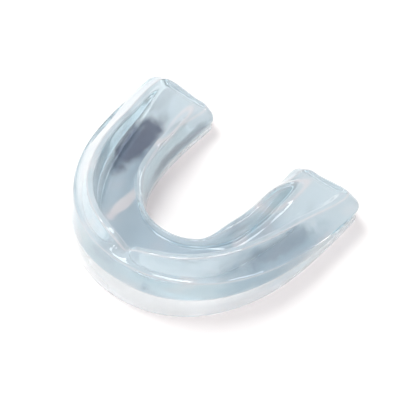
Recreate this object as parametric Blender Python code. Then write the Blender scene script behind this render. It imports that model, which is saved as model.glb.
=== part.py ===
"""Clear two-layer boil-and-bite mouthguard.

Frame: X runs across the mouth, -Y is the lip side, +Y the throat, Z is up.
The bite side lies flat on Z = 0 and the tooth trough opens upwards.
Plan curves and sections are in millimetres; the meshes are made in metres.
"""
import math

import bmesh
import bpy
import numpy as np

MM = 0.001

# Plan of the right half, from the front centre to the end of the leg.
OUTER_PLAN = ((0.0, -27.85), (18.9, -27.85), (34.4, -11.85), (32.1, 27.85))
INNER_PLAN = ((0.0, -8.25), (14.4, -8.25), (14.3, 9.65), (12.6, 27.85))
PLAN_STEPS = 600
FAN_POWER = 1.7

# Stations from the leg end to the front centre.
END_STATIONS = (0.0, 0.2, 0.7, 1.5, 2.4, 3.3, 4.8)
NOTCH_STATIONS = (0.0, 0.7, 1.5, 2.6, 4.0)
MIDDLE_STATIONS = 26
CORNER_RADIUS = 3.3
CORNER_SQUEEZE = 0.95
EDGE_DROP = 0.5
EDGE_LENGTH = 1.2

# Heights of the outer wall.
SEAM_FRONT = 7.5
SEAM_END = 1.6
SEAM_POWER = 1.3
STEP_FRONT = 13.3
STEP_END = 4.6
STEP_POWER = 1.4
STEP_MIN_RISE = 0.8
RIM_FRONT = 18.4
NOTCH_DEPTH = 6.4
NOTCH_WIDTH = 4.5
SLAB_TOP = 7.2
SLAB_TOP_INNER = 6.2

# Insets of the outer wall from the base outline.
SEAM_INSET = 0.45
FOOT_TUCK = 0.8
STEP_INSET_FRONT = 1.8
STEP_INSET_LEG = 0.1
SHELF = 1.0
SIDE_END_INSET = -0.7
SIDE_END_HEIGHT = 5.8
RIM_INSET_FRONT = 4.4
RIM_INSET_LEG = 5.1
RIM_INSET_END = 3.0
RIM_THICKNESS = 1.5
INNER_SLOPE = 0.5

# Trough floor and tongue-side wall.
FLOOR = 5.0
FLOOR_DIP = 0.15
LIP = 6.5
LIP_THICKNESS = 0.7
LINGUAL_RISE = 3.9
LINGUAL_THICKNESS = 1.6
LINGUAL_INSET = 1.3
LINGUAL_END_INSET = 2.2
LIP_INSET = 0.5

# Joint between the two layers.
PLATE = 2.0
GAP = 0.3
BUMPER_WIDTH = 2.2
BUMPER_FOOT = 7.2
BUMPER_CLEARANCE = 0.2
CORNER_STEPS = 2

EVA_IOR = 1.49


def clear_scene():
    for obj in list(bpy.data.objects):
        bpy.data.objects.remove(obj, do_unlink=True)


def smooth(x):
    x = min(max(x, 0.0), 1.0)
    return x * x * (3.0 - 2.0 * x)


def mix(a, b, k):
    return a + (b - a) * k


def bezier(points):
    """Sample a cubic curve and return its points and running length."""
    t = np.linspace(0.0, 1.0, PLAN_STEPS)[:, None]
    p = np.array(points)
    curve = (1 - t) ** 3 * p[0] + 3 * (1 - t) ** 2 * t * p[1]
    curve = curve + 3 * (1 - t) * t * t * p[2] + t ** 3 * p[3]
    steps = np.linalg.norm(np.diff(curve, axis=0), axis=1)
    return curve, np.concatenate([[0.0], np.cumsum(steps)])


def at_length(curve, length, where):
    x = np.interp(where, length, curve[:, 0])
    y = np.interp(where, length, curve[:, 1])
    return np.array([x, y])


class Arch:
    """Pairs each place on the outer outline with one on the inner outline."""

    def __init__(self):
        self.outer, self.outer_length = bezier(OUTER_PLAN)
        self.inner, self.inner_length = bezier(INNER_PLAN)
        self.long = self.outer_length[-1]
        self.short = self.inner_length[-1]

    def station(self, from_end):
        """Return outer point, inner point and both fractions from the front."""
        share = (from_end / self.long) ** FAN_POWER
        inner_from_end = from_end - (self.long - self.short) * share
        out_at = self.long - from_end
        in_at = self.short - inner_from_end
        outer = at_length(self.outer, self.outer_length, out_at)
        inner = at_length(self.inner, self.inner_length, in_at)
        return outer, inner, out_at / self.long, in_at / self.short

    def half_stations(self):
        """Distances from the leg end, closer together at the end and notch."""
        start = END_STATIONS[-1]
        stop = self.long - NOTCH_STATIONS[-1]
        middle = np.linspace(start, stop, MIDDLE_STATIONS + 2)[1:-1]
        notch = [self.long - d for d in reversed(NOTCH_STATIONS)]
        return list(END_STATIONS) + list(middle) + notch


def seam_height(s):
    return SEAM_FRONT - (SEAM_FRONT - SEAM_END) * s ** SEAM_POWER


def step_height(s):
    return STEP_FRONT - (STEP_FRONT - STEP_END) * s ** STEP_POWER


def notch(s, long):
    return math.exp(-math.hypot(s * long, 0.5) / NOTCH_WIDTH)


def rim_height(s, long):
    crest = RIM_FRONT - (RIM_FRONT - SLAB_TOP) * s ** 2
    return crest - NOTCH_DEPTH * notch(s, long)


def rim_inset(s, long):
    inset = mix(RIM_INSET_FRONT, RIM_INSET_LEG, smooth(s / 0.6))
    inset = mix(inset, RIM_INSET_END, smooth((s - 0.72) / 0.25))
    return inset + notch(s, long)


def lingual_height(s):
    rise = smooth((s - 0.20) / 0.20) * (1.0 - smooth((s - 0.64) / 0.34))
    return mix(LIP, SLAB_TOP_INNER, smooth((s - 0.70) / 0.26)) + LINGUAL_RISE * rise


def floor_height(s, slab):
    """The trough floor rises until only a shallow dip is left in the leg-end slab."""
    return mix(FLOOR, slab - FLOOR_DIP, smooth((s - 0.70) / 0.25))


def liner_corners(width, s, s_in, long):
    """Section of the fit liner as (inset, height, corner radius)."""
    seam = seam_height(s) + GAP
    step = max(step_height(s), seam + STEP_MIN_RISE)
    step_in = mix(STEP_INSET_FRONT, STEP_INSET_LEG, smooth((s - 0.15) / 0.5))
    rim = rim_height(s, long)
    rim_in = rim_inset(s, long)
    floor_out = floor_height(s, SLAB_TOP)
    floor_in = floor_height(s, SLAB_TOP_INNER)
    lingual = lingual_height(s_in)
    crest_in = mix(LIP_INSET, LINGUAL_INSET, smooth((s_in - 0.15) / 0.25))
    crest_in = width - mix(crest_in, LINGUAL_END_INSET, smooth((s_in - 0.60) / 0.35))
    leg = smooth((s_in - 0.15) / 0.25)
    crest_out = crest_in - mix(LIP_THICKNESS, LINGUAL_THICKNESS, leg)
    end = smooth((s - 0.50) / 0.46)
    tongue_end = smooth((s_in - 0.60) / 0.35)
    shelf_in = mix(step_in + SHELF, SIDE_END_INSET, end)
    shelf = mix(step + 0.5, SIDE_END_HEIGHT, end)
    return [
        (SEAM_INSET, seam, 0.25),
        (step_in, step, 0.5),
        (shelf_in, shelf, 0.8),
        (rim_in, rim, 0.7),
        (rim_in + RIM_THICKNESS, rim, 0.7),
        (rim_in + RIM_THICKNESS + INNER_SLOPE, floor_out, 2.5),
        (crest_out - mix(0.9, 1.6, leg), floor_in, 2.5),
        (crest_out, lingual, 0.8),
        (crest_in, lingual, 0.8),
        (width + mix(-0.3, 0.6, tongue_end), mix(PLATE, lingual, 0.6), 1.2),
        (width, PLATE + GAP, 0.25),
        (BUMPER_FOOT + BUMPER_CLEARANCE, PLATE + GAP, 2.5),
        (BUMPER_WIDTH + BUMPER_CLEARANCE, seam, 1.2),
    ]


def shell_corners(width, s, s_in, long):
    """Section of the outer shell as (inset, height, corner radius)."""
    seam = seam_height(s)
    foot = FOOT_TUCK * smooth((s - 0.55) / 0.4)
    return [
        (foot, 0.0, 0.6),
        (0.0, 0.55 * seam, 1.0),
        (SEAM_INSET, seam, 0.25),
        (BUMPER_WIDTH, seam, 1.2),
        (BUMPER_FOOT, PLATE, 2.5),
        (width, PLATE, 0.25),
        (width, 0.0, 0.6),
    ]


def rounded(corners):
    """Replace each corner of a closed section with a short curve."""
    ring = []
    count = len(corners)
    for i in range(count):
        here = np.array(corners[i][:2])
        radius = corners[i][2]
        before = np.array(corners[i - 1][:2]) - here
        after = np.array(corners[(i + 1) % count][:2]) - here
        back = min(radius, 0.42 * np.linalg.norm(before))
        ahead = min(radius, 0.42 * np.linalg.norm(after))
        start = here + before / np.linalg.norm(before) * back
        stop = here + after / np.linalg.norm(after) * ahead
        for k in range(CORNER_STEPS + 1):
            t = k / CORNER_STEPS
            point = (1 - t) ** 2 * start + 2 * (1 - t) * t * here + t * t * stop
            ring.append(point)
    return np.array(ring)


def corner_inset(from_end):
    """How far the plan outline draws in near the rounded leg end."""
    if from_end >= CORNER_RADIUS:
        return 0.0
    left = CORNER_RADIUS - from_end
    return CORNER_RADIUS - math.sqrt(CORNER_RADIUS ** 2 - left ** 2)


def end_scale(from_end):
    """How far the top edge drops just at the leg end."""
    left = max(0.0, 1.0 - from_end / EDGE_LENGTH)
    return 1.0 - EDGE_DROP * left ** 2 / SLAB_TOP


def section(arch, from_end, corners_of, side):
    """One closed ring of the loft, in metres."""
    outer, inner, s, s_in = arch.station(from_end)
    width = np.linalg.norm(inner - outer)
    across = (inner - outer) / width
    ring = rounded(corners_of(width, s, s_in, arch.long))
    inset = CORNER_SQUEEZE * corner_inset(from_end)
    scale = end_scale(from_end)
    points = []
    for depth, height in ring:
        depth = inset + depth * (width - 2.0 * inset) / width
        x, y = outer + across * depth
        points.append((side * x * MM, y * MM, height * scale * MM))
    return points


def loft(name, arch, corners_of, material):
    """Sweep a section round the arch from one leg end to the other."""
    half = arch.half_stations()
    rings = [section(arch, d, corners_of, -1.0) for d in half]
    rings += [section(arch, d, corners_of, 1.0) for d in reversed(half[:-1])]
    count = len(rings[0])
    mesh = bpy.data.meshes.new(name)
    build = bmesh.new()
    rows = [[build.verts.new(p) for p in ring] for ring in rings]
    for row, following in zip(rows[:-1], rows[1:]):
        for k in range(count):
            j = (k + 1) % count
            build.faces.new((row[k], row[j], following[j], following[k]))
    build.faces.new(rows[0])
    build.faces.new(rows[-1])
    bmesh.ops.recalc_face_normals(build, faces=build.faces)
    bmesh.ops.triangulate(build, faces=build.faces)
    build.to_mesh(mesh)
    build.free()
    obj = bpy.data.objects.new(name, mesh)
    bpy.context.scene.collection.objects.link(obj)
    mesh.materials.append(material)
    mesh.shade_smooth()
    mesh.set_sharp_from_angle(angle=math.radians(35.0))
    return obj


def clear_plastic(name, colour, roughness):
    material = bpy.data.materials.new(name)
    material.use_nodes = True
    shader = material.node_tree.nodes["Principled BSDF"]
    shader.inputs["Base Color"].default_value = colour
    shader.inputs["Roughness"].default_value = roughness
    shader.inputs["IOR"].default_value = EVA_IOR
    shader.inputs["Transmission Weight"].default_value = 0.9
    return material


def main():
    clear_scene()
    arch = Arch()
    firm = clear_plastic("clear_firm_eva", (0.80, 0.88, 0.93, 1.0), 0.08)
    soft = clear_plastic("clear_soft_eva", (0.76, 0.85, 0.91, 1.0), 0.12)
    loft("outer_shell", arch, shell_corners, firm)
    loft("fit_liner", arch, liner_corners, soft)


main()
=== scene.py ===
"""Looks for the clear two-layer mouthguard: fine moulded meshes, clear EVA and a white studio."""
import math

import bmesh
import bpy
import numpy as np
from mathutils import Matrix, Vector


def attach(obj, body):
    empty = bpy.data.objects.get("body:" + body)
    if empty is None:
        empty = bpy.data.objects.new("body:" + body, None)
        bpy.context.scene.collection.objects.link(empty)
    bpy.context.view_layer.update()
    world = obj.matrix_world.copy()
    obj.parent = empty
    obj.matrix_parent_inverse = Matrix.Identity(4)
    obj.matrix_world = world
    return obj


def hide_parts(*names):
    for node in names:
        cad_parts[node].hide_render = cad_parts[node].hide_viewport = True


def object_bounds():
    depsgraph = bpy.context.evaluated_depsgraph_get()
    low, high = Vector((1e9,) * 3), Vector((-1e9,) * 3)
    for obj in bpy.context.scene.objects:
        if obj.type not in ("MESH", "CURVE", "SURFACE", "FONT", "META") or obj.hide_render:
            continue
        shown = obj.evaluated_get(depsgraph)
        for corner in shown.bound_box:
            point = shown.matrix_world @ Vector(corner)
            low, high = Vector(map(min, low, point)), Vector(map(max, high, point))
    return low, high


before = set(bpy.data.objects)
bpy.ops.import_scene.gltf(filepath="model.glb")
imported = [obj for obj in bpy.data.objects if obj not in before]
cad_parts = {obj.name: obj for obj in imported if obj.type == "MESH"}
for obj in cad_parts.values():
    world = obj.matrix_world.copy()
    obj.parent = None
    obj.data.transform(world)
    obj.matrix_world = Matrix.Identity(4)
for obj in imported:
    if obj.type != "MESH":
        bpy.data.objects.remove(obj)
CAD_LOW, CAD_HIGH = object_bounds()

# The shapes below are drawn in millimetres for this depth and scaled to the frame.
DRAWN_DEPTH = 55.7
UNIT = (CAD_HIGH[1] - CAD_LOW[1]) / DRAWN_DEPTH

# Plan of the right half, from the front centre to the end of the leg.
OUTER_PLAN = ((0.0, -27.85), (18.9, -27.85), (34.4, -11.85), (32.1, 27.85))
INNER_PLAN = ((0.0, -8.25), (14.4, -8.25), (14.3, 9.65), (12.6, 27.85))
PLAN_STEPS = 2000
FAN_POWER = 1.7

# Stations along the half arch.
HALF_STATIONS = 190
END_STATIONS = 26
END_LENGTH = 4.6
CORNER_RADIUS = 3.3
CORNER_SQUEEZE = 0.95
EDGE_DROP = 0.8
EDGE_LENGTH = 1.6

# Heights of the outer wall.
SEAM_FRONT = 7.5
SEAM_END = 1.6
SEAM_POWER = 1.3
STEP_FRONT = 13.3
STEP_END = 4.6
STEP_POWER = 1.4
STEP_MIN_RISE = 0.8
RIM_FRONT = 18.4
NOTCH_DEPTH = 6.4
NOTCH_WIDTH = 4.5
SLAB_TOP = 7.2
SLAB_TOP_INNER = 6.2

# Insets of the outer wall from the base outline.
SEAM_INSET = 0.45
FOOT_TUCK = 0.8
STEP_INSET_FRONT = 1.8
STEP_INSET_LEG = 0.1
SHELF = 1.0
SIDE_END_INSET = -0.7
SIDE_END_HEIGHT = 5.8
RIM_INSET_FRONT = 4.4
RIM_INSET_LEG = 5.1
RIM_INSET_END = 3.0
RIM_THICKNESS = 1.5
INNER_SLOPE = 2.0

# Trough floor and tongue-side wall.
FLOOR = 5.0
FLOOR_DIP = 0.15
LIP = 6.5
LIP_THICKNESS = 0.7
LINGUAL_RISE = 3.9
LINGUAL_THICKNESS = 1.6
LINGUAL_INSET = 1.3
LINGUAL_END_INSET = 2.2
LIP_INSET = 0.5

# Oval rim round the pad at the end of each tongue-side wall, raised a little and painted white as a
# highlight.
PAD_CENTRE = (16.8, 16.0)
PAD_HALF_WIDTH = 1.7
PAD_HALF_LENGTH = 8.0
PAD_TURN = 10.0
PAD_RIM_WIDTH = 0.17
PAD_RISE = 0.3
PAD_BASE = 4.5

# Joint between the two layers.
PLATE = 2.0
GAP = 0.12
BUMPER_WIDTH = 2.2
BUMPER_FOOT = 7.2
CORNER_STEPS = 7
SIDE_STEPS = 5
CORNER_SHARE = 0.42
HIGHLIGHT_SHARPNESS = 4

# Clear EVA.
IOR = 1.49
COAT = 0.7
VEIL = (0.56, 0.52, 0.53, 1.0)
WHITE = (0.98, 0.99, 1.0, 1.0)
PALE = (0.94, 0.97, 0.98, 1.0)
DEEP = (0.04, 0.06, 0.12, 1.0)
BLUE = (0.26, 0.46, 0.60, 1.0)
TROUGH_BLUE = 0.6
TROUGH_BLUE_END = 0.66
TROUGH_BLUE_FADE = 0.15
STREAK_SCALE = 110.0
MARK_WOBBLE_SCALE = 190.0
MARK_UNEVEN = 1.0
MARK_EDGE = 1.0
MARK_CORE = 0.45
FINE_SCALE = 900.0
COAT_ROUGHNESS = 0.03
STREAK_STRETCH = (1.0, 0.7, 1.6)
EVEN = (1.0, 1.0, 1.0)

# Painted marks of shade and highlight on the plastic: centre, half size, turn about Z and strength.
SHELL_LOOK = {
    "tint": (0.98, 1.0, 1.0, 1.0),
    "clarity": 0.68,
    "haze": 0.08,
    "pale_streaks": 0.7,
    "dark_streaks": 0.05,
    "painted_shade_marks": [],
    "painted_blue_shade_marks": [],
    "painted_highlight_marks": [],
}
LINER_LOOK = {
    "tint": (0.69, 0.895, 0.975, 1.0),
    "clarity": 0.82,
    "haze": 0.08,
    "pale_streaks": 0.7,
    "dark_streaks": 0.3,
    # Painted shade: dark marks on the left trough floor, the right outer wall and the left
    # tongue-side wall, standing in for shade and dark things seen through the plastic.
    "painted_shade_marks": [
        ((-21.5, 7.5, 6.0), (4.6, 13.5, 6.0), 0.0, 0.95),
        ((27.3, 2.5, 11.5), (2.4, 15.0, 5.0), -15.0, 0.38),
        ((-13.0, 13.0, 4.6), (2.2, 14.0, 2.5), 0.0, 0.7),
    ],
    # Painted shade: the right side of the outer wall made bluer and darker.
    "painted_blue_shade_marks": [
        ((27.5, 0.0, 9.0), (6.0, 18.0, 7.0), -15.0, 0.7),
    ],
    # Painted highlights: a white streak on the front of the left trough floor and a pale mark on the
    # right leg.
    "painted_highlight_marks": [
        ((-12.6, -8.2, 5.0), (1.9, 8.0, 3.0), -2.0, 1.0),
        ((16.3, 0.7, 6.0), (2.6, 5.0, 4.0), 30.0, 0.6),
    ],
}

# View and light.
WARM = (1.0, 0.985, 0.98)
COOL = (0.96, 0.98, 1.0)
NEUTRAL = (1.0, 1.0, 1.0)
STRIP_TURN = 80.0
STRIP_ELEVATION = 60.0
STRIP_POWER = 0.5
KEY_AZIMUTH = -100.0
KEY_ELEVATION = 55.0
KEY_DISTANCE = 1.2
KEY_SIZE = 0.8
KEY_POWER = 11.5
FILL_AZIMUTH = 15.0
FILL_ELEVATION = 22.0
FILL_DISTANCE = 1.0
FILL_SIZE = 0.5
FILL_POWER = 5.0
SOFTBOX_ELEVATION = 68.0
SOFTBOX_POWER = 0.5
NEAR_DISTANCE = 0.6
NEAR_SIZE = 0.2
SKY_STRENGTH = 0.42
EXPOSURE = 0.16
HORIZON = (0.85, 0.90, 0.95, 1.0)
SKY_TOP = 0.55
PAPER = (0.95, 0.935, 0.93, 1.0)
FLOOR_HALF = 1.5
CAMERA_AZIMUTH = 38.9
CAMERA_ELEVATION = 53.6
CAMERA_DISTANCE = 0.5
CAMERA_LENS = 178.3
AIM_RIGHT = 5.25
AIM_UP = 3.15


# Corners of each section, counted from 0: those in the joint, those painted white as edge
# highlights and how strongly, and those of the trough floor, which is painted blue-grey shade.
LINER_JOINT = (10, 11, 12)
LINER_HIGHLIGHT_EDGES = {1: 1.0, 3: 1.0, 4: 0.2, 7: 0.3, 8: 0.8}
TROUGH_CORNERS = (5, 6)
SHELL_JOINT = (2, 3, 4)
SHELL_HIGHLIGHT_EDGES = {0: 0.6, 5: 1.0, 6: 1.0}


def smooth(x):
    x = min(max(x, 0.0), 1.0)
    return x * x * (3.0 - 2.0 * x)


def mix(a, b, k):
    return a + (b - a) * k


def bezier(points):
    t = np.linspace(0.0, 1.0, PLAN_STEPS)[:, None]
    p = np.array(points)
    curve = (1 - t) ** 3 * p[0] + 3 * (1 - t) ** 2 * t * p[1]
    curve = curve + 3 * (1 - t) * t * t * p[2] + t ** 3 * p[3]
    steps = np.linalg.norm(np.diff(curve, axis=0), axis=1)
    return curve, np.concatenate([[0.0], np.cumsum(steps)])


def at_length(curve, length, where):
    x = np.interp(where, length, curve[:, 0])
    y = np.interp(where, length, curve[:, 1])
    return np.array([x, y])


class Arch:
    """Pairs each place on the outer outline with one on the inner outline."""

    def __init__(self):
        self.outer, self.outer_length = bezier(OUTER_PLAN)
        self.inner, self.inner_length = bezier(INNER_PLAN)
        self.long = self.outer_length[-1]
        self.short = self.inner_length[-1]

    def station(self, from_end):
        share = (from_end / self.long) ** FAN_POWER
        inner_from_end = from_end - (self.long - self.short) * share
        out_at = self.long - from_end
        in_at = self.short - inner_from_end
        outer = at_length(self.outer, self.outer_length, out_at)
        inner = at_length(self.inner, self.inner_length, in_at)
        return outer, inner, out_at / self.long, in_at / self.short

    def half_stations(self):
        k = np.linspace(0.0, 1.0, END_STATIONS)
        end = END_LENGTH * k ** 2
        rest = np.linspace(END_LENGTH, self.long, HALF_STATIONS)[1:]
        return np.concatenate([end, rest])


def seam_height(s):
    return SEAM_FRONT - (SEAM_FRONT - SEAM_END) * s ** SEAM_POWER


def step_height(s):
    return STEP_FRONT - (STEP_FRONT - STEP_END) * s ** STEP_POWER


def notch(s, long):
    return math.exp(-math.hypot(s * long, 0.5) / NOTCH_WIDTH)


def rim_height(s, long):
    crest = RIM_FRONT - (RIM_FRONT - SLAB_TOP) * s ** 2
    return crest - NOTCH_DEPTH * notch(s, long)


def rim_inset(s, long):
    inset = mix(RIM_INSET_FRONT, RIM_INSET_LEG, smooth(s / 0.6))
    inset = mix(inset, RIM_INSET_END, smooth((s - 0.72) / 0.25))
    return inset + notch(s, long)


def lingual_height(s):
    rise = smooth((s - 0.20) / 0.20) * (1.0 - smooth((s - 0.64) / 0.34))
    return mix(LIP, SLAB_TOP_INNER, smooth((s - 0.70) / 0.26)) + LINGUAL_RISE * rise


def floor_height(s, slab):
    """The trough floor rises until only a shallow dip is left in the leg-end slab."""
    return mix(FLOOR, slab - FLOOR_DIP, smooth((s - 0.70) / 0.25))


def liner_corners(width, s, s_in, long):
    """Section of the fit liner as (inset, height, corner radius)."""
    seam = seam_height(s) + GAP
    step = max(step_height(s), seam + STEP_MIN_RISE)
    step_in = mix(STEP_INSET_FRONT, STEP_INSET_LEG, smooth((s - 0.15) / 0.5))
    rim = rim_height(s, long)
    rim_in = rim_inset(s, long)
    floor_out = floor_height(s, SLAB_TOP)
    floor_in = floor_height(s, SLAB_TOP_INNER)
    lingual = lingual_height(s_in)
    crest_in = mix(LIP_INSET, LINGUAL_INSET, smooth((s_in - 0.15) / 0.25))
    crest_in = width - mix(crest_in, LINGUAL_END_INSET, smooth((s_in - 0.60) / 0.35))
    leg = smooth((s_in - 0.15) / 0.25)
    crest_out = crest_in - mix(LIP_THICKNESS, LINGUAL_THICKNESS, leg)
    end = smooth((s - 0.50) / 0.46)
    tongue_end = smooth((s_in - 0.60) / 0.35)
    shelf_in = mix(step_in + SHELF, SIDE_END_INSET, end)
    shelf = mix(step + 0.5, SIDE_END_HEIGHT, end)
    return [
        (SEAM_INSET, seam, 0.2),
        (step_in, step, 0.4),
        (shelf_in, shelf, 0.8),
        (rim_in, rim, 0.55),
        (rim_in + RIM_THICKNESS, rim, 0.7),
        (rim_in + RIM_THICKNESS + INNER_SLOPE, floor_out, 2.5),
        (crest_out - mix(0.9, 1.6, leg), floor_in, 2.5),
        (crest_out, lingual, 0.8),
        (crest_in, lingual, 0.8),
        (width + mix(-0.3, 0.6, tongue_end), mix(PLATE, lingual, 0.6), 1.2),
        (width, PLATE + GAP, 0.2),
        (BUMPER_FOOT + GAP, PLATE + GAP, 2.5),
        (BUMPER_WIDTH + GAP, seam, 1.2),
    ]


def shell_corners(width, s, s_in, long):
    """Section of the outer shell as (inset, height, corner radius)."""
    seam = seam_height(s)
    foot = FOOT_TUCK * smooth((s - 0.55) / 0.4)
    return [
        (foot, 0.0, 0.6),
        (0.0, 0.55 * seam, 1.0),
        (SEAM_INSET, seam, 0.2),
        (BUMPER_WIDTH, seam, 1.2),
        (BUMPER_FOOT, PLATE, 2.5),
        (width, PLATE, 0.2),
        (width, 0.0, 0.6),
    ]


def rounded(corners, joint, highlight_edges):
    """Round each corner of a closed section.

    Also say which faces lie in the joint, how strongly each point is painted white as an edge
    highlight and which points lie in the trough, which is painted blue-grey shade.
    """
    ring = []
    hidden = []
    highlight_weight = []
    bed = []
    count = len(corners)
    starts = []
    stops = []
    for i in range(count):
        here = np.array(corners[i][:2])
        radius = corners[i][2]
        before = np.array(corners[i - 1][:2]) - here
        after = np.array(corners[(i + 1) % count][:2]) - here
        back = min(radius, CORNER_SHARE * np.linalg.norm(before))
        ahead = min(radius, CORNER_SHARE * np.linalg.norm(after))
        starts.append(here + before / np.linalg.norm(before) * back)
        stops.append(here + after / np.linalg.norm(after) * ahead)
    for i in range(count):
        here = np.array(corners[i][:2])
        for k in range(CORNER_STEPS):
            t = k / CORNER_STEPS
            point = (1 - t) ** 2 * starts[i] + 2 * (1 - t) * t * here + t * t * stops[i]
            ring.append(point)
            hidden.append(i in joint[1:])
            # Painted highlight: white that peaks at the middle of each listed corner.
            highlight_weight.append(highlight_edges.get(i, 0.0) * math.sin(math.pi * t) ** HIGHLIGHT_SHARPNESS)
            bed.append(1.0 if i in TROUGH_CORNERS else 0.0)
        following = starts[(i + 1) % count]
        for k in range(SIDE_STEPS):
            ring.append(stops[i] + (following - stops[i]) * k / SIDE_STEPS)
            hidden.append(i in joint)
            highlight_weight.append(0.0)
            bed.append(1.0 if i in TROUGH_CORNERS[:-1] else 0.0)
    return np.array(ring), hidden, highlight_weight, bed


def corner_inset(from_end):
    if from_end >= CORNER_RADIUS:
        return 0.0
    left = CORNER_RADIUS - from_end
    return CORNER_RADIUS - math.sqrt(CORNER_RADIUS ** 2 - left ** 2)


def end_scale(from_end):
    left = max(0.0, 1.0 - from_end / EDGE_LENGTH)
    return 1.0 - EDGE_DROP * (1.0 - math.sqrt(1.0 - left ** 2)) / SLAB_TOP


def pad_rim(plan):
    """Height of the oval rim round the pad at the end of each tongue-side wall, from 0 to 1."""
    turn = math.radians(PAD_TURN)
    x = plan[:, 0] - PAD_CENTRE[0]
    y = plan[:, 1] - PAD_CENTRE[1]
    across = (x * math.cos(turn) - y * math.sin(turn)) / PAD_HALF_WIDTH
    along = (x * math.sin(turn) + y * math.cos(turn)) / PAD_HALF_LENGTH
    return np.exp(-((np.hypot(across, along) - 1.0) / PAD_RIM_WIDTH) ** 2)


def section(arch, from_end, corners_of, joint, highlight_edges, side):
    outer, inner, s, s_in = arch.station(from_end)
    width = np.linalg.norm(inner - outer)
    across = (inner - outer) / width
    ring, hidden, highlight_weight, bed = rounded(corners_of(width, s, s_in, arch.long), joint, highlight_edges)
    inset = CORNER_SQUEEZE * corner_inset(from_end)
    depth = inset + ring[:, 0] * (width - 2.0 * inset) / width
    height = ring[:, 1] * end_scale(from_end)
    plan = outer + depth[:, None] * across
    if joint == LINER_JOINT:
        rim = pad_rim(plan) * (height > PAD_BASE)
        height = height + PAD_RISE * rim
        # The oval rim is painted white as a highlight.
        highlight_weight = np.maximum(highlight_weight, rim)
    points = np.column_stack([side * plan[:, 0], plan[:, 1], height])
    # Painted shade: the trough floor is tinted blue-grey, fading out towards the leg end.
    depth_of_blue = TROUGH_BLUE * (1.0 - smooth((s - TROUGH_BLUE_END) / TROUGH_BLUE_FADE))
    return points * UNIT, hidden, highlight_weight, [depth_of_blue * b for b in bed]


def loft(name, arch, corners_of, joint, highlight_edges):
    half = list(arch.half_stations())
    left = [section(arch, d, corners_of, joint, highlight_edges, -1.0) for d in half]
    right = [section(arch, d, corners_of, joint, highlight_edges, 1.0) for d in reversed(half[:-1])]
    rings = left + right
    hidden = rings[0][1]
    count = len(hidden)
    build = bmesh.new()
    rows = [[build.verts.new(p) for p in ring[0]] for ring in rings]
    for row, following in zip(rows[:-1], rows[1:]):
        for k in range(count):
            j = (k + 1) % count
            face = build.faces.new((row[k], row[j], following[j], following[k]))
            face.material_index = 1 if hidden[k] else 0
            face.smooth = True
    for row in (rows[0], rows[-1]):
        face = build.faces.new(row)
    bmesh.ops.recalc_face_normals(build, faces=build.faces)
    caps = [f for f in build.faces if len(f.verts) > 4]
    bmesh.ops.triangulate(build, faces=caps)
    mesh = bpy.data.meshes.new(name)
    build.to_mesh(mesh)
    build.free()
    # Per-point weight of the white painted along the edges as highlights.
    edge = mesh.attributes.new("painted_edge_highlight", "FLOAT", "POINT")
    edge.data.foreach_set("value", [value for ring in rings for value in ring[2]])
    if joint == LINER_JOINT:
        # Per-point weight of the blue-grey shade painted on the trough floor.
        trough = mesh.attributes.new("trough", "FLOAT", "POINT")
        trough.data.foreach_set("value", [value for ring in rings for value in ring[3]])
    piece = bpy.data.objects.new(name, mesh)
    bpy.context.scene.collection.objects.link(piece)
    return piece


def tinted(nodes, links, weight, before, colour):
    """Blend towards a colour where the weight socket is high."""
    blend = nodes.new("ShaderNodeMix")
    blend.data_type = "RGBA"
    links.new(weight, blend.inputs["Factor"])
    links.new(before, blend.inputs["A"])
    blend.inputs["B"].default_value = colour
    return blend.outputs["Result"]


def ramp_of(nodes, links, value, low, high, strength):
    """A soft step from 0 up to the strength as the value runs from low to high."""
    ramp = nodes.new("ShaderNodeMapRange")
    ramp.interpolation_type = "SMOOTHSTEP"
    links.new(value, ramp.inputs["Value"])
    ramp.inputs["From Min"].default_value = low
    ramp.inputs["From Max"].default_value = high
    ramp.inputs["To Max"].default_value = strength
    return ramp.outputs["Result"]


def mark_reach(nodes, links, place, painted_mark):
    """Uneven distance from the middle of a painted mark: about 1 at its ellipsoid's surface."""
    centre, size, turn = painted_mark[:3]
    local = nodes.new("ShaderNodeMapping")
    local.vector_type = "TEXTURE"
    links.new(place, local.inputs["Vector"])
    local.inputs["Location"].default_value = [c * UNIT for c in centre]
    local.inputs["Rotation"].default_value = (0.0, 0.0, math.radians(turn))
    local.inputs["Scale"].default_value = [c * UNIT for c in size]
    reach = nodes.new("ShaderNodeVectorMath")
    reach.operation = "LENGTH"
    links.new(local.outputs["Vector"], reach.inputs[0])
    wander = nodes.new("ShaderNodeMath")
    wander.operation = "MULTIPLY_ADD"
    links.new(mottling(nodes, links, place, MARK_WOBBLE_SCALE, EVEN), wander.inputs[0])
    wander.inputs[1].default_value = MARK_UNEVEN
    links.new(reach.outputs["Value"], wander.inputs[2])
    middle = nodes.new("ShaderNodeMath")
    middle.operation = "SUBTRACT"
    links.new(wander.outputs[0], middle.inputs[0])
    middle.inputs[1].default_value = 0.5 * MARK_UNEVEN
    return middle.outputs[0]


def mark_weight(nodes, links, place, painted_mark):
    """Weight of one painted mark, blurred towards its edge; the marks are painted shade and painted
    highlights.
    """
    reach = mark_reach(nodes, links, place, painted_mark)
    return ramp_of(nodes, links, reach, MARK_EDGE, MARK_CORE, painted_mark[3])


def mottling(nodes, links, place, scale, stretch):
    """Streaky noise that runs along the arch more than across it."""
    local = nodes.new("ShaderNodeMapping")
    links.new(place, local.inputs["Vector"])
    local.inputs["Scale"].default_value = stretch
    grain = nodes.new("ShaderNodeTexNoise")
    links.new(local.outputs["Vector"], grain.inputs["Vector"])
    grain.inputs["Scale"].default_value = scale
    grain.inputs["Detail"].default_value = 3.0
    grain.inputs["Distortion"].default_value = 0.6
    return grain.outputs["Fac"]


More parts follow.
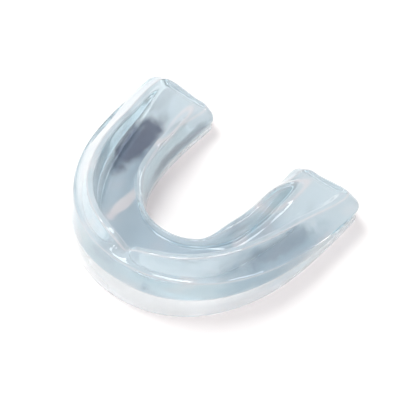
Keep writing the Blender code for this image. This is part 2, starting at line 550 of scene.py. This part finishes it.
def clear_eva(name, look):
    """Clear plastic with faint streaks inside, painted white along its edges as highlights, painted
    blue-grey shade in the trough and painted marks of shade and highlight.
    """
    material = bpy.data.materials.new(name)
    material.use_nodes = True
    nodes = material.node_tree.nodes
    links = material.node_tree.links
    shader = nodes["Principled BSDF"]
    shader.inputs["IOR"].default_value = IOR
    shader.inputs["Coat Weight"].default_value = COAT
    shader.inputs["Coat Roughness"].default_value = COAT_ROUGHNESS
    shader.inputs["Transmission Weight"].default_value = look["clarity"]

    place = nodes.new("ShaderNodeTexCoord").outputs["Object"]
    tint = nodes.new("ShaderNodeRGB")
    tint.outputs[0].default_value = look["tint"]
    colour = tint.outputs[0]
    streaks = mottling(nodes, links, place, STREAK_SCALE, STREAK_STRETCH)
    pale_streaks = ramp_of(nodes, links, streaks, 0.52, 0.72, look["pale_streaks"])
    dark_streaks = ramp_of(nodes, links, streaks, 0.48, 0.28, look["dark_streaks"])
    colour = tinted(nodes, links, pale_streaks, colour, PALE)
    colour = tinted(nodes, links, dark_streaks, colour, DEEP)
    # Painted shade: blue-grey over the trough floor.
    trough = nodes.new("ShaderNodeAttribute")
    trough.attribute_name = "trough"
    colour = tinted(nodes, links, trough.outputs["Fac"], colour, BLUE)
    # Painted shade: the blue marks.
    for painted_mark in look["painted_blue_shade_marks"]:
        weight = mark_weight(nodes, links, place, painted_mark)
        colour = tinted(nodes, links, weight, colour, BLUE)
    # Painted shade: the dark marks.
    for painted_mark in look["painted_shade_marks"]:
        weight = mark_weight(nodes, links, place, painted_mark)
        colour = tinted(nodes, links, weight, colour, DEEP)
    # Painted highlight: the pale marks.
    for painted_mark in look["painted_highlight_marks"]:
        weight = mark_weight(nodes, links, place, painted_mark)
        colour = tinted(nodes, links, weight, colour, WHITE)
    # Painted highlight: white along the listed edges of the section.
    edge = nodes.new("ShaderNodeAttribute")
    edge.attribute_name = "painted_edge_highlight"
    colour = tinted(nodes, links, edge.outputs["Fac"], colour, WHITE)
    links.new(colour, shader.inputs["Base Color"])

    fine = mottling(nodes, links, place, FINE_SCALE, EVEN)
    haze = nodes.new("ShaderNodeMapRange")
    links.new(fine, haze.inputs["Value"])
    haze.inputs["To Min"].default_value = look["haze"] * 0.6
    haze.inputs["To Max"].default_value = look["haze"] * 1.4
    links.new(haze.outputs["Result"], shader.inputs["Roughness"])

    path = nodes.new("ShaderNodeLightPath")
    veil = nodes.new("ShaderNodeBsdfTransparent")
    veil.inputs["Color"].default_value = VEIL
    through = nodes.new("ShaderNodeMixShader")
    links.new(path.outputs["Is Shadow Ray"], through.inputs[0])
    links.new(shader.outputs[0], through.inputs[1])
    links.new(veil.outputs[0], through.inputs[2])
    links.new(through.outputs[0], nodes["Material Output"].inputs["Surface"])
    return material


def bonded_face():
    """The faces inside the bond, where the two layers have melted together."""
    material = bpy.data.materials.new("bonded_face")
    material.use_nodes = True
    shader = material.node_tree.nodes["Principled BSDF"]
    shader.inputs["Base Color"].default_value = WHITE
    shader.inputs["IOR"].default_value = IOR
    shader.inputs["Transmission Weight"].default_value = 1.0
    shader.inputs["Alpha"].default_value = 0.0
    return material


def make_guard():
    arch = Arch()
    bond = bonded_face()
    for node, corners_of, joint, highlight_edges, look in (
        ("outer_shell", shell_corners, SHELL_JOINT, SHELL_HIGHLIGHT_EDGES, SHELL_LOOK),
        ("fit_liner", liner_corners, LINER_JOINT, LINER_HIGHLIGHT_EDGES, LINER_LOOK),
    ):
        piece = loft(node + "_moulding", arch, corners_of, joint, highlight_edges)
        piece.data.materials.append(clear_eva("clear_" + node, look))
        piece.data.materials.append(bond)
        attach(piece, "root")
        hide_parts(node)


def make_floor():
    size = FLOOR_HALF
    mesh = bpy.data.meshes.new("floor")
    corners = [(-size, -size, 0), (size, -size, 0), (size, size, 0), (-size, size, 0)]
    mesh.from_pydata(corners, [], [(0, 1, 2, 3)])
    floor = bpy.data.objects.new("floor", mesh)
    floor.location.z = CAD_LOW[2] - 0.0001
    bpy.context.scene.collection.objects.link(floor)
    paper = bpy.data.materials.new("white_paper")
    paper.use_nodes = True
    shader = paper.node_tree.nodes["Principled BSDF"]
    shader.inputs["Base Color"].default_value = PAPER
    shader.inputs["Roughness"].default_value = 0.9
    shader.inputs["Specular IOR Level"].default_value = 0.0
    floor.data.materials.append(paper)


def make_world():
    world = bpy.data.worlds.new("studio")
    bpy.context.scene.world = world
    world.use_nodes = True
    nodes = world.node_tree.nodes
    links = world.node_tree.links
    background = nodes["Background"]
    place = nodes.new("ShaderNodeTexCoord")
    split = nodes.new("ShaderNodeSeparateXYZ")
    ramp = nodes.new("ShaderNodeValToRGB")
    links.new(place.outputs["Generated"], split.inputs[0])
    links.new(split.outputs["Z"], ramp.inputs[0])
    links.new(ramp.outputs[0], background.inputs[0])
    ramp.color_ramp.elements[0].position = 0.0
    ramp.color_ramp.elements[0].color = HORIZON
    ramp.color_ramp.elements[1].position = SKY_TOP
    ramp.color_ramp.elements[1].color = (1.0, 1.0, 1.0, 1.0)
    background.inputs[1].default_value = SKY_STRENGTH


def add_light(name, azimuth, elevation, distance, size, power, colour):
    a = math.radians(azimuth)
    e = math.radians(elevation)
    away = Vector((math.sin(a) * math.cos(e), -math.cos(a) * math.cos(e), math.sin(e)))
    data = bpy.data.lights.new(name, "AREA")
    data.shape = "DISK"
    data.size = size
    data.energy = power
    data.color = colour
    light = bpy.data.objects.new(name, data)
    light.location = away * distance
    light.rotation_euler = away.to_track_quat("Z", "Y").to_euler()
    bpy.context.scene.collection.objects.link(light)
    return light


def make_lights():
    key = add_light("key", KEY_AZIMUTH, KEY_ELEVATION, KEY_DISTANCE, KEY_SIZE, KEY_POWER, WARM)
    key.visible_glossy = False
    key.visible_transmission = False
    fill = add_light("fill", FILL_AZIMUTH, FILL_ELEVATION, FILL_DISTANCE, FILL_SIZE, FILL_POWER, WARM)
    fill.visible_glossy = False
    fill.visible_transmission = False
    softbox = add_light(
        "softbox", CAMERA_AZIMUTH, SOFTBOX_ELEVATION, NEAR_DISTANCE, NEAR_SIZE, SOFTBOX_POWER, NEUTRAL
    )
    softbox.visible_diffuse = False
    softbox.visible_transmission = False
    for side in (-1.0, 1.0):
        azimuth = CAMERA_AZIMUTH + side * STRIP_TURN
        strip = add_light(
            "strip", azimuth, STRIP_ELEVATION, NEAR_DISTANCE, NEAR_SIZE, STRIP_POWER, COOL
        )
        strip.visible_diffuse = False
        strip.visible_transmission = False


def make_camera():
    a = math.radians(CAMERA_AZIMUTH)
    e = math.radians(CAMERA_ELEVATION)
    back = Vector((math.sin(a) * math.cos(e), -math.cos(a) * math.cos(e), math.sin(e)))
    right = Vector((math.cos(a), math.sin(a), 0.0))
    up = back.cross(right)
    aim = (right * AIM_RIGHT + up * AIM_UP) * UNIT
    data = bpy.data.cameras.new("camera")
    data.lens = CAMERA_LENS
    data.clip_start = 0.01
    camera = bpy.data.objects.new("camera", data)
    camera.location = aim + back * CAMERA_DISTANCE
    camera.rotation_euler = back.to_track_quat("Z", "Y").to_euler()
    bpy.context.scene.collection.objects.link(camera)
    bpy.context.scene.camera = camera


make_guard()
make_floor()
make_world()
make_lights()
make_camera()
scene = bpy.context.scene
scene.view_settings.view_transform = "Standard"
scene.view_settings.exposure = EXPOSURE
scene.cycles.max_bounces = 24
scene.cycles.transmission_bounces = 20
scene.cycles.glossy_bounces = 12
scene.cycles.transparent_max_bounces = 24
